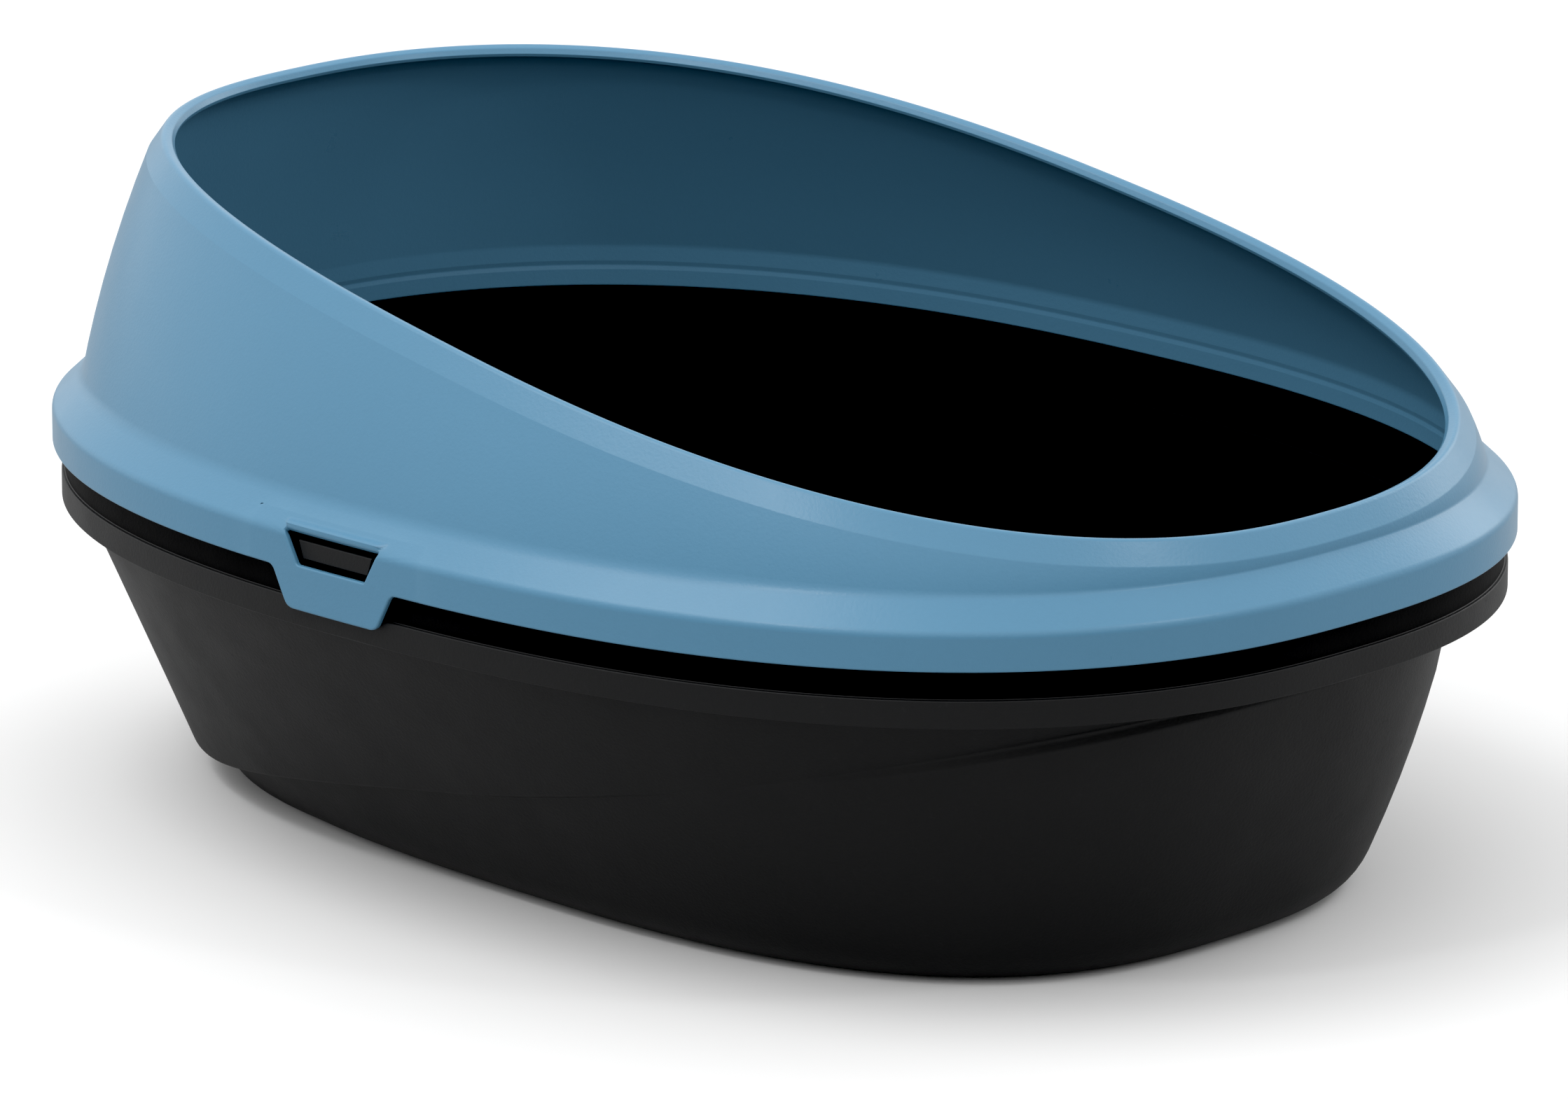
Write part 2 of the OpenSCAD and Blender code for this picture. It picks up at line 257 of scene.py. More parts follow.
def rimSection(turn):
    # rows of the whole rim with the radius of each corner, from the skirt's foot round and back to it
    wall, inside = rim["wall"], rim["shoulderIn"]
    shoulder = skirtRow(turn, inside, rim["shoulderTop"])
    lipOut = lipRow(turn, rim["lipBand"], -rim["lipDrop"])
    wallOut = [wallRow(turn, part, shoulder, lipOut) for part in (0.12, 0.25, 0.4, 0.55, 0.7, 0.85)]
    shoulderIn = skirtRow(turn, inside + wall + 0.3, rim["shoulderTop"] + 1)
    lipUnder = lipRow(turn, rim["lipBand"] - wall, -rim["lipDrop"] - 0.6)
    wallIn = [wallRow(turn, part, shoulderIn, lipUnder) for part in (0.85, 0.6, 0.4, 0.2)]
    apron = rim["apronIn"]
    groove = rim["grooveHeight"]
    corners = [
        (skirtRow(turn, wall / 2, rim["skirtBottom"]), 0),
        (skirtRow(turn, 0, rim["skirtBottom"]), clip["edgeRound"]),
        (skirtRow(turn, 0, rim["skirtCorner"]), rim["skirtCornerRound"]),
        (skirtRow(turn, clip["topInset"], shoulderHeight(clip["topInset"])), 0),
        (shoulder, rim["shoulderRound"]),
        *[(row, 0) for row in wallOut],
        (lipOut, 1.6),
        (lipRow(turn, rim["lipCrestOut"], rim["lipCrest"]), 2.6),
        (lipRow(turn, 1.3, 1.1), 1.6),
        (lipRow(turn, 0, -1.2), 0.5),
        (lipRow(turn, 0.4, -2.6), 0.5),
        (lipRow(turn, rim["lipBand"] - 1.9 * wall, -0.5 * rim["lipDrop"]), 3),
        (lipUnder, 3),
        *[(row, 0) for row in wallIn],
        (shoulderIn, 9),
        (skirtRow(turn, apron + wall, groove + 2), 1.5),
        (skirtRow(turn, apron + wall - 0.4, groove), 2),
        (skirtRow(turn, apron + wall, groove - 2), 1.5),
        (skirtRow(turn, apron + wall, rim["apronBottom"]), 0.8),
        (skirtRow(turn, apron, rim["apronBottom"]), 0.8),
        (skirtRow(turn, apron, rim["apronRoot"]), 0.6),
        (skirtRow(turn, rim["roofIn"], rim["roofHeight"]), 0.6),
        (skirtRow(turn, wall, rim["skirtCorner"] - 1), 3),
        (skirtRow(turn, wall, rim["skirtBottom"]), clip["edgeRound"]),
        (skirtRow(turn, wall / 2, rim["skirtBottom"]), 0),
    ]
    return roundCorners([row for row, _ in corners], [radius for _, radius in corners])


columns = rim["columns"]
rimRows = rimSection(turns(columns))
profile = np.stack([np.array([oval["width"] - row[0, 0], row[0, 2]]) for row in rimRows])


def rowNearest(inset, height):
    # the row of the rim's section that passes nearest to a place
    return int(np.argmin(np.hypot(*(profile - [inset, height]).T)))


flatRow = 6    # rows under this one belong to the rounding of the skirt's bottom edge
clipTopRow = rowNearest(clip["topInset"], shoulderHeight(clip["topInset"]))
roofRow = rowNearest(rim["roofIn"], rim["roofHeight"])


def clipColumns():
    # the rim's columns at the two ends of the clip's own sheet, on the right side
    reach = rimRows[0][:, 1] - clip["middle"]
    right = rimRows[0][:, 0] > 0
    inReach = np.flatnonzero(right & (np.abs(reach) < clip["sideReach"])).tolist()
    inReach.sort(key=lambda column: reach[column])
    return inReach[0], inReach[-1]


lowColumn, highColumn = clipColumns()
rightSpan = [(lowColumn + step) % columns for step in range((highColumn - lowColumn) % columns + 1)]
leftSpan = [(columns // 2 - column) % columns for column in rightSpan]


def selectEdges(piece, chosen):
    # selects the edges for which chosen is true, leaving edit mode to do it
    mesh = piece.data
    mesh.vertices.foreach_set("select", np.zeros(len(mesh.vertices), bool))
    mesh.polygons.foreach_set("select", np.zeros(len(mesh.polygons), bool))
    mesh.edges.foreach_set("select", chosen)


def openForClip(piece, span):
    # takes the outer and inner sheets away over the clip's span, then closes the cut
    mesh = piece.data
    row, column = tubePlaces(piece, columns)
    spanSet = set(span)
    chosen = []
    for face in mesh.polygons:
        rows = [row[vertex] for vertex in face.vertices]
        inSpan = all(column[vertex] in spanSet for vertex in face.vertices)
        low = max(rows) <= clipTopRow or min(rows) >= roofRow
        chosen.append(inSpan and low and max(rows) - min(rows) == 1)
    selectFaces(piece, chosen)
    editMesh(piece, lambda: bpy.ops.mesh.delete(type="FACE"))
    row, column = tubePlaces(piece, columns)
    edges = []
    for edge in mesh.edges:
        ends = list(edge.vertices)
        level = row[ends[0]] == row[ends[1]] and row[ends[0]] in (clipTopRow, roofRow)
        edges.append(bool(level and all(column[end] in spanSet for end in ends)))
    selectEdges(piece, edges)
    editMesh(piece, bpy.ops.mesh.bridge_edge_loops)
    row, column = tubePlaces(piece, columns)
    for end in (span[0], span[-1]):
        group = piece.vertex_groups.new(name=f"end{end}")
        ring = [int(v) for v in np.flatnonzero(column == end) if row[v] <= clipTopRow or row[v] >= roofRow]
        group.add(ring, 1, "REPLACE")


def closeEnd(piece, group):
    # fills the open section at one end of a clip's span
    mesh = piece.data
    members = {v.index for v in mesh.vertices if any(g.group == group.index for g in v.groups)}
    used = {}
    for face in mesh.polygons:
        for key in face.edge_keys:
            used[key] = used.get(key, 0) + 1
    edges = [used.get(tuple(sorted(edge.vertices)), 0) == 1 and all(v in members for v in edge.vertices)
             for edge in mesh.edges]
    selectEdges(piece, edges)
    editMesh(piece, bpy.ops.mesh.edge_face_add)


hood = growTube("hoodRim", columns, len(rimRows))
openForClip(hood, rightSpan)
openForClip(hood, leftSpan)
layRows(hood, rimRows)
editMesh(hood, mergeAndTurnOut)
for group in hood.vertex_groups:
    closeEnd(hood, group)
hood.vertex_groups.clear()
editMesh(hood, mergeAndTurnOut)
smoothPiece(hood)
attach(hood, "hood")
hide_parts("hood")
print("rim modelled:", len(hood.data.polygons), "faces")


def roundPath(points, radii):
    # a flat path with its corners rounded
    flat = [np.array([[along, up, 0.0]]) for along, up in points]
    return np.concatenate(roundCorners(flat, radii, 8))[:, :2]


def resample(path, count):
    # count points spaced evenly along a path, both ends among them
    steps = np.concatenate([[0], np.cumsum(np.linalg.norm(np.diff(path, axis=0), axis=1))])
    wanted = np.linspace(0, steps[-1], count)
    return np.stack([np.interp(wanted, steps, path[:, axis]) for axis in range(2)], 1)


def clipLoops():
    # the sheet's outer edge and its window, point for point, and which points are on a free edge
    middle, low = clip["middle"], rim["skirtBottom"]
    sideRows = range(flatRow, clipTopRow + 1)
    lowSide = np.stack([rimRows[row][lowColumn, 1:] for row in sideRows])
    highSide = np.stack([rimRows[row][highColumn, 1:] for row in sideRows])
    lowEnd, highEnd = rimRows[0][lowColumn, 1], rimRows[0][highColumn, 1]
    topLow, topHigh = lowSide[-1], highSide[-1]
    sideCount, topCount, lowCount = len(sideRows) * 4, 64, 132
    # sides are walked from the top down, the bottom from the low end to the high end
    lowSide = resample(lowSide[::-1], sideCount)
    highSide = resample(highSide, sideCount)
    top = resample(np.stack([topHigh, topLow]), topCount)
    root, tip, tipLow = clip["rootHalf"] + 0.5, clip["tipHalf"], low - clip["drop"]
    rootRound, tipRound = clip["rootRound"], clip["cornerRound"] - 1
    tab = [(middle - root, low), (middle - tip, tipLow), (middle + tip, tipLow), (middle + root, low)]
    edge = roundPath([(lowEnd, low), *tab, (highEnd, low)], [0, rootRound, tipRound, tipRound, rootRound, 0])
    edge = resample(edge, lowCount)
    outer = np.concatenate([top[:-1], lowSide, edge, highSide[:-1]])
    free = np.concatenate([np.zeros(topCount - 1 + sideCount), np.ones(lowCount), np.zeros(sideCount - 1)])
    wideTop, wideLow = clip["windowTopHalf"], clip["windowLowHalf"]
    up, down, corner = clip["windowTop"], clip["windowLow"], clip["windowRound"]
    window = roundPath(
        [(middle, up), (middle - wideTop, up), (middle - wideLow, down), (middle + wideLow, down),
         (middle + wideTop, up), (middle, up)],
        [0, 0.9, corner, corner, 0.9, 0])
    steps = np.concatenate([[0], np.cumsum(np.linalg.norm(np.diff(window, axis=0), axis=1))])

    def lengthAt(point):
        return steps[int(np.argmin(np.linalg.norm(window - point, axis=1)))]

    marks = [lengthAt((middle - wideTop, up)), lengthAt((middle - wideLow, down)),
             lengthAt((middle + wideLow, down)), lengthAt((middle + wideTop, up))]
    total = steps[-1]

    def stretch(start, end, count):
        wanted = np.linspace(start, end, count) % total
        return np.stack([np.interp(wanted, steps, window[:, axis]) for axis in range(2)], 1)

    inner = np.concatenate([
        stretch(marks[3] - total, marks[0], topCount)[:-1],
        stretch(marks[0], marks[1] - 2, sideCount),
        stretch(marks[1] - 2 + 0.15, marks[2] + 2 - 0.15, lowCount),
        stretch(marks[2] + 2, marks[3], sideCount)[:-1],
    ])
    return outer, inner, free


def flatNormals(loop):
    # unit normals of a closed flat loop that runs counterclockwise round its inside, pointing inside
    ahead = np.roll(loop, -1, 0) - np.roll(loop, 1, 0)
    return unit(np.stack([-ahead[:, 1], ahead[:, 0]], 1))


def sheetPlace(spots, depth):
    # a point of the skirt and shoulder at a place along Y and a height, sunk to a depth
    along, up = spots[:, 0], spots[:, 1]
    insets, heights = profile[flatRow:clipTopRow + 1].T
    inset = np.interp(up, heights, insets)
    lean = np.interp(up + 0.3, heights, insets) - np.interp(up - 0.3, heights, insets)
    lean = lean / 0.6
    # a small brow keeps the sheet upright for a little above the window
    browTop = clip["windowTop"] + clip["browHeight"]
    browInset = np.interp(clip["windowTop"], heights, insets)
    fromMiddle = np.abs(along - clip["middle"])
    near = np.clip((clip["windowTopHalf"] + 0.6 - fromMiddle) / 1.6, 0, 1)
    height = np.clip((browTop + 1.4 - up) / 1.6, 0, 1)
    height = np.where(up < clip["windowTop"] - 1, 0, height)
    near, height = near * near * (3 - 2 * near), height * height * (3 - 2 * height)
    inset = inset + (np.minimum(inset, browInset) - inset) * near * height
    power = oval["squareness"]
    length, width = oval["length"] - inset, oval["width"] - inset
    across = width * (1 - np.abs(along / length) ** power) ** (1 / power)
    gradient = np.stack([
        (across / width) ** (power - 1) / width,
        signedPower(along / length, power - 1) / length,
    ], 1)
    normal = np.concatenate([unit(gradient), lean[:, None]], 1)
    return np.stack([across, along, up], 1) - unit(normal) * depth[:, None]


def clipRows():
    # the sheet's closed section, from its outer edge over the front to the window and along the back
    outer, inner, free = clipLoops()
    wall, bend = rim["wall"], clip["edgeRound"]
    outerIn, innerOut = flatNormals(outer), -flatNormals(inner)
    lowStart, lowEnd = int(np.flatnonzero(free)[0]), int(np.flatnonzero(free)[-1])
    outerIn[[lowStart, lowEnd]] = [0, 1]
    count = len(free)
    quarter = [math.radians(22.5 * step) for step in range(5)]

    def at(loop, normals, shift, depth):
        shift, depth = np.broadcast_to(shift, count), np.broadcast_to(depth, count)
        return sheetPlace(loop + normals * shift[:, None], depth)

    def across(parts, depth):
        start, end = outer + outerIn * (bend * free)[:, None], inner + innerOut * bend
        return [sheetPlace(start * (1 - part) + end * part, np.broadcast_to(depth, count)) for part in parts]

    parts = np.linspace(0, 1, 15)[1:-1]
    over = [(bend * (1 - math.sin(a)), bend * (1 - math.cos(a))) for a in quarter]
    rows = []
    rows += [at(outer, outerIn, shift * free, depth) for shift, depth in over[::-1]]
    rows += across(parts, 0.0)
    rows += [at(inner, innerOut, shift, depth) for shift, depth in over]
    rows += [at(inner, innerOut, shift, wall - depth) for shift, depth in over[::-1]]
    rows += across(parts[::-1], wall)
    rows += [at(outer, outerIn, shift * free, wall - depth) for shift, depth in over]
    rows.append(rows[0])
    return rows


clipSheet = clipRows()
clipRight = growTube("clipRight", len(clipSheet[0]), len(clipSheet))
layRows(clipRight, clipSheet)
editMesh(clipRight, mergeAndTurnOut)
selectOnly(clipRight)
bpy.ops.object.duplicate()
clipLeft = bpy.context.object
clipLeft.name = "clipLeft"
for vertex in clipLeft.data.vertices:
    vertex.co.x = -vertex.co.x
editMesh(clipLeft, mergeAndTurnOut)


def bendWithClip(piece):
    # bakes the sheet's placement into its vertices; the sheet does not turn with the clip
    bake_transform(piece)


for piece, body in ((clipRight, "clip_right"), (clipLeft, "clip_left")):
    smoothPiece(piece)
    bendWithClip(piece)
    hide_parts(body)
print("clips modelled:", len(clipRight.data.polygons), "faces each")


# the dark pan: its foot, crease, flange and the two blocks the clips' windows close over
pan = {
    "columns": 320,
    "wall": 2.6,
    "rimIn": 5,
    "rimTop": 167.1,
    "flangeIn": 3.5,
    "flangeTop": 137.7,
    "flangeBottom": 126,
    "bodyIn": 11,
    "footLength": 258.8,
    "footWidth": 157,
    "footSquareness": 2.72,
    "footTaper": 0.055,
    "footBack": 3.15,
    "footRound": 16,
    "floor": 3,
    "creaseMiddle": 51,
    "creaseFront": 118.8,
    "creaseLow": 12,
    "creaseStep": 4,
    "creaseStepSlope": 0.028,
    "creaseSoft": 2.2,
    "recess": 4.6,
    "frontRecess": 13.4,     # how the front of the body goes in under the flange and swells out again
    "frontSwell": 39.8,
    "frontTuck": 18.5,
    "lugHalf": 22.5,
    "lugLow": 154.9,
    "lugTop": 163.3,
    "lugOut": 3.1,           # its face behind the skirt's outside
    "lugDepth": 2.9,
    "lugSlant": 0.8,
    "lugTaper": 2.6,         # how much narrower it is at the bottom, on each side
}


def bodyRow(turn, height, out):
    # a row of the body on a straight slant from the foot's oval to the flange's
    part = np.maximum(0, (pan["flangeBottom"] - height) / pan["flangeBottom"])
    inset = pan["bodyIn"] - out
    along = share(turn, oval["squareness"])
    across = signedPower(np.cos(turn), 2 / oval["squareness"])
    high = np.stack([(oval["width"] - inset) * across, (oval["length"] - inset) * along], -1)
    along = share(turn, pan["footSquareness"])
    across = signedPower(np.cos(turn), 2 / pan["footSquareness"])
    wide = (pan["footWidth"] + out) * across * (1 - pan["footTaper"] * along)
    low = np.stack([wide, (pan["footLength"] + out) * along + pan["footBack"]], -1)
    part = np.broadcast_to(part, turn.shape)[:, None]
    flat = high * (1 - part) + low * part
    return np.concatenate([flat, np.broadcast_to(height, turn.shape)[:, None]], 1)


def creaseHeight(turn):
    # the crease climbs from low at the rear to just under the flange at the front
    along = share(turn, oval["squareness"])
    grow = (oval["length"] - pan["footLength"] - pan["bodyIn"]) / pan["flangeBottom"]
    slope = (pan["creaseFront"] - pan["creaseMiddle"]) / (pan["footLength"] + grow * pan["creaseFront"])
    plane = (pan["creaseMiddle"] - slope * pan["footLength"] * along) / (1 + slope * grow * along)
    return 0.5 * (plane + pan["creaseLow"] + np.sqrt((plane - pan["creaseLow"]) ** 2 + 36))


def bodyOut(turn, height):
    # how far the lower body stands out from a straight slant; only its front swells
    part = np.maximum(0, (pan["flangeBottom"] - height) / pan["flangeBottom"])
    front = (1 - share(turn, oval["squareness"])) / 2
    return front * (pan["frontSwell"] * part - pan["frontTuck"] * part ** 2 - pan["frontRecess"])


def panSection(turn):
    # rows of the pan from the middle of its underside over the rim to the middle of its floor
    wall = pan["wall"]
    along = share(turn, oval["squareness"])
    edge = creaseHeight(turn)
    topOut = -pan["recess"] * (1 - along)
    underOut = bodyOut(turn, edge)
    creaseOut = pan["creaseStep"] + pan["creaseStepSlope"] * 0.9 * oval["length"] * along
    lowOut = underOut + creaseOut
    fold = wall * np.clip(creaseOut / 3, -1, 1)
    half = 0.7 + pan["creaseSoft"] * np.clip(-creaseOut / 4, 0, 1)
    flange, bottom, ledge = pan["flangeIn"], pan["flangeBottom"], pan["flangeTop"] + 1
    footRound = np.minimum(pan["footRound"], 0.62 * edge)
    footOut = bodyOut(turn, 0)
    centre = np.zeros((len(turn), 3)) + [0, pan["footBack"], 0]
    footEnd = bodyRow(turn, 0, footOut - 0.9 * footRound)
    footTop = bodyRow(turn, footRound, bodyOut(turn, footRound))
    footCurve = curveRows(footEnd, bodyRow(turn, 0, footOut), footTop)
    floorUp = pan["floor"]
    insideEnd = bodyRow(turn, floorUp, footOut - wall - 0.9 * footRound)
    insideTop = bodyRow(turn, floorUp + footRound, bodyOut(turn, floorUp + footRound) - wall)
    insideCurve = curveRows(insideTop, bodyRow(turn, floorUp, footOut - wall), insideEnd)

    def side(low, high, parts, inset):
        # rows of the lower body between two heights
        heights = [low + (high - low) * part for part in parts]
        return [(bodyRow(turn, height, bodyOut(turn, height) - inset), 0) for height in heights]

    def upperSide(parts, inset):
        return [(bodyRow(turn, edge + (bottom - edge) * part, lowOut + (topOut - lowOut) * part - inset), 0)
                for part in parts]

    corners = [
        (centre, 0),
        (centre * 0.5 + footEnd * 0.5, 0),
        *[(row, 0) for row in footCurve],
        *side(footRound, edge - half - 0.6, (0.17, 0.34, 0.5, 0.67, 0.84), 0),
        (bodyRow(turn, edge - half, underOut), 2.5),
        (bodyRow(turn, edge + half * 0.6, lowOut), 2.5),
        *upperSide((0.25, 0.5, 0.75), 0),
        (bodyRow(turn, bottom, topOut), 0),
        (bodyRow(turn, ledge - wall, topOut), 0.8),
        (skirtRow(turn, flange + wall, ledge - wall), 0.8),
        (skirtRow(turn, flange + wall, bottom), 0.5),
        (skirtRow(turn, flange, bottom), 0.7),
        (skirtRow(turn, flange, pan["flangeTop"]), 1.3),
        (skirtRow(turn, pan["rimIn"], pan["flangeTop"]), 0.6),
        (skirtRow(turn, pan["rimIn"], pan["rimTop"]), 0.9),
        (skirtRow(turn, pan["rimIn"] + wall, pan["rimTop"]), 0.9),
        (skirtRow(turn, pan["rimIn"] + wall, ledge), 1),
        (bodyRow(turn, ledge, topOut - wall), 1),
        (bodyRow(turn, bottom, topOut - wall), 0),
        *upperSide((0.75, 0.5, 0.25), wall),
        (bodyRow(turn, edge + 0.7 + fold, lowOut - wall), 1.5),
        (bodyRow(turn, edge - 0.7 + fold, underOut - wall), 1.5),
        *side(floorUp + footRound, edge - 4, (0.75, 0.5, 0.25), wall),
        *[(row, 0) for row in insideCurve],
        (centre * 0.5 + insideEnd * 0.5 + [0, 0, 0.5 * floorUp], 0),
        (centre + [0, 0, floorUp], 0),
    ]
    return roundCorners([row for row, _ in corners], [radius for _, radius in corners])


panRows = panSection(turns(pan["columns"]))
tray = growTube("panTray", pan["columns"], len(panRows))
layRows(tray, panRows)
editMesh(tray, mergeAndTurnOut)


def latchBlocks():
    # the two blocks on the pan's rim that the clips' windows close over
    blocks = []
    power, middle = oval["squareness"], clip["middle"]
    height = pan["lugTop"] - pan["lugLow"]
    for side in (1, -1):
        deselectAll()
        bpy.ops.mesh.primitive_cube_add(size=1)
        block = bpy.context.object
        editMesh(block, lambda: bpy.ops.mesh.subdivide(number_cuts=9))
        deselectAll()
        selectOnly(block)
        for vertex in block.data.vertices:
            along, up, out = vertex.co.y, vertex.co.z + 0.5, vertex.co.x + 0.5
            half = pan["lugHalf"] - pan["lugTaper"] * (1 - up) - pan["lugSlant"] * out
            y = middle + 2 * along * half
            inset = pan["lugOut"] + pan["lugDepth"] * (1 - out)
            length, width = oval["length"] - inset, oval["width"] - inset
            x = width * (1 - abs(y / length) ** power) ** (1 / power)
            z = pan["lugLow"] + height * up + pan["lugSlant"] * (0.5 - up) * out * 1.2
            vertex.co = (side * x * mm, y * mm, z * mm)
        editMesh(block, mergeAndTurnOut)
        block.modifiers.new("edges", "BEVEL")
        block.modifiers[-1].width = 0.7 * mm
        block.modifiers[-1].segments = 3
        block.modifiers[-1].limit_method = "ANGLE"
        block.modifiers[-1].angle_limit = math.radians(40)
        selectOnly(block)
        bpy.ops.object.modifier_apply(modifier=block.modifiers[-1].name)
        blocks.append(block)
    return blocks


blocks = latchBlocks()
deselectAll()
for block in blocks:
    block.select_set(True)
tray.select_set(True)
bpy.context.view_layer.objects.active = tray
bpy.ops.object.join()
smoothPiece(tray)
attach(tray, "pan")
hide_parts("pan")
print("pan modelled:", len(tray.data.polygons), "faces")


def node(tree, kind, place, **values):
    made = tree.nodes.new(kind)
    made.location = place
    for name, value in values.items():
        setattr(made, name, value)
    return made


def mathNode(tree, operation, place, first, second, clamp=False):
    made = node(tree, "ShaderNodeMath", place, operation=operation, use_clamp=clamp)
    for socket, value in zip(made.inputs, (first, second)):
        if isinstance(value, (int, float)):
            socket.default_value = value
        else:
            tree.links.new(value, socket)
    return made.outputs[0]


def noiseNode(tree, place, coordinates, scale, detail, roughness=0.5):
    made = node(tree, "ShaderNodeTexNoise", place)
    made.inputs["Scale"].default_value = scale
    made.inputs["Detail"].default_value = detail
    made.inputs["Roughness"].default_value = roughness
    tree.links.new(coordinates, made.inputs["Vector"])
    return made.outputs[0]


def mouldedSurface():
    # colour, roughness and fine relief of a moulded plastic, shared by the rim and the pan
    tree = bpy.data.node_groups.new("mouldedSurface", "ShaderNodeTree")
    wanted = (("Colour", "NodeSocketColor", "INPUT"), ("Worn Colour", "NodeSocketColor", "INPUT"),
              ("Drift", "NodeSocketFloat", "INPUT"), ("Roughness", "NodeSocketFloat", "INPUT"),
              ("Roughness Drift", "NodeSocketFloat", "INPUT"), ("Grain Depth", "NodeSocketFloat", "INPUT"),
              ("Edge Wear", "NodeSocketFloat", "INPUT"),
              ("Colour", "NodeSocketColor", "OUTPUT"), ("Roughness", "NodeSocketFloat", "OUTPUT"),
              ("Normal", "NodeSocketVector", "OUTPUT"))
    for name, kind, way in wanted:
        tree.interface.new_socket(name=name, socket_type=kind, in_out=way)
    given = node(tree, "NodeGroupInput", (-1200, 0)).outputs
    result = node(tree, "NodeGroupOutput", (900, 0)).inputs
    place = node(tree, "ShaderNodeTexCoord", (-1200, 400)).outputs["Object"]
    link = tree.links.new

    clouds = noiseNode(tree, (-900, 500), place, 7, 4)
    flecks = noiseNode(tree, (-900, 300), place, 420, 3)
    patches = noiseNode(tree, (-900, 100), place, 38, 5, 0.6)
    grain = noiseNode(tree, (-900, -300), place, 1500, 3, 0.6)
    stipple = node(tree, "ShaderNodeTexVoronoi", (-900, -500), feature="SMOOTH_F1")
    stipple.inputs["Scale"].default_value = 720
    link(place, stipple.inputs["Vector"])
    stretched = node(tree, "ShaderNodeMapping", (-900, -700))
    stretched.inputs["Rotation"].default_value = (0.4, 0.2, 0.9)
    stretched.inputs["Scale"].default_value = (1, 14, 9)
    link(place, stretched.inputs["Vector"])
    scuffs = noiseNode(tree, (-700, -700), stretched.outputs[0], 30, 4)
    scuffMask = node(tree, "ShaderNodeMapRange", (-500, -700))
    scuffMask.inputs["From Min"].default_value = 0.66
    scuffMask.inputs["From Max"].default_value = 0.74
    link(scuffs, scuffMask.inputs["Value"])
    scuff = mathNode(tree, "MULTIPLY", (-300, -700), scuffMask.outputs[0], clouds)

    # brightness wanders slowly and, much less, from fleck to fleck
    wander = mathNode(tree, "SUBTRACT", (-650, 500), clouds, 0.5)
    fleck = mathNode(tree, "SUBTRACT", (-650, 350), flecks, 0.5)
    uneven = mathNode(tree, "ADD", (-450, 450), wander, mathNode(tree, "MULTIPLY", (-550, 350), fleck, 0.5))
    shift = mathNode(tree, "MULTIPLY", (-250, 450), uneven, given["Drift"])
    brightness = mathNode(tree, "ADD", (-100, 450), shift, 1)
    shaded = node(tree, "ShaderNodeHueSaturation", (100, 400))
    link(brightness, shaded.inputs["Value"])
    link(given["Colour"], shaded.inputs["Color"])

    # edges and corners rubbed a little paler, in patches
    sharpness = node(tree, "ShaderNodeNewGeometry", (-900, 750)).outputs["Pointiness"]
    edgeMask = node(tree, "ShaderNodeMapRange", (-650, 750))
    edgeMask.inputs["From Min"].default_value = 0.51
    edgeMask.inputs["From Max"].default_value = 0.6
    link(sharpness, edgeMask.inputs["Value"])
    rubbed = mathNode(tree, "MULTIPLY", (-450, 750), edgeMask.outputs[0], patches)
    rubbed = mathNode(tree, "ADD", (-350, 700), rubbed, mathNode(tree, "MULTIPLY", (-400, 600), scuff, 0.3))
    worn = mathNode(tree, "MULTIPLY", (-250, 750), rubbed, given["Edge Wear"], clamp=True)
    mixed = node(tree, "ShaderNodeMix", (350, 400), data_type="RGBA")
    link(worn, mixed.inputs["Factor"])
    link(shaded.outputs[0], mixed.inputs[6])
    link(given["Worn Colour"], mixed.inputs[7])
    link(mixed.outputs[2], result["Colour"])

    # roughness varies in patches, and is a little higher along the scuffs
    drift = mathNode(tree, "MULTIPLY", (-250, 150), mathNode(tree, "SUBTRACT", (-450, 150), patches, 0.5),
                     given["Roughness Drift"])
    total = mathNode(tree, "ADD", (0, 150), drift, given["Roughness"])
    scuffed = mathNode(tree, "MULTIPLY", (0, 0), scuff, 0.12)
    total = mathNode(tree, "ADD", (200, 150), total, scuffed, clamp=True)
    link(total, result["Roughness"])

    # relief: a soft stipple from the mould with a finer grain over it
    relief = mathNode(tree, "ADD", (-450, -350), grain, stipple.outputs["Distance"])
    bump = node(tree, "ShaderNodeBump", (100, -300))
    bump.inputs["Distance"].default_value = 0.0002
    link(given["Grain Depth"], bump.inputs["Strength"])
    link(relief, bump.inputs["Height"])
    link(bump.outputs[0], result["Normal"])
    return tree


# colours, grain and shine of the plastics; the wear is a paler rub along the edges
plastics = {
    "rim": {"colour": (0.09, 0.238, 0.372), "worn": (0.26, 0.48, 0.65), "drift": 0.08, "roughness": 0.3,
            "roughnessDrift": 0.12, "grainDepth": 0.2, "edgeWear": 0.12, "specular": 0.36},
    "pan": {"colour": (0.006, 0.0062, 0.0066), "worn": (0.045, 0.046, 0.048), "drift": 0.3, "roughness": 0.5,
            "roughnessDrift": 0.16, "grainDepth": 0.35, "edgeWear": 0.5, "specular": 0.3},
    # painted shade: a darker colour and a weaker shine for the inside of the pan and its rim under the
    # skirt, where shade falls
    "paintedShadeInside": {"colour": (0.0022, 0.0022, 0.0024), "worn": (0.02, 0.02, 0.021), "drift": 0.3,
                  "roughness": 0.62, "roughnessDrift": 0.16, "grainDepth": 0.35, "edgeWear": 0.15,
                  "specular": 0.07},
}
surface = mouldedSurface()


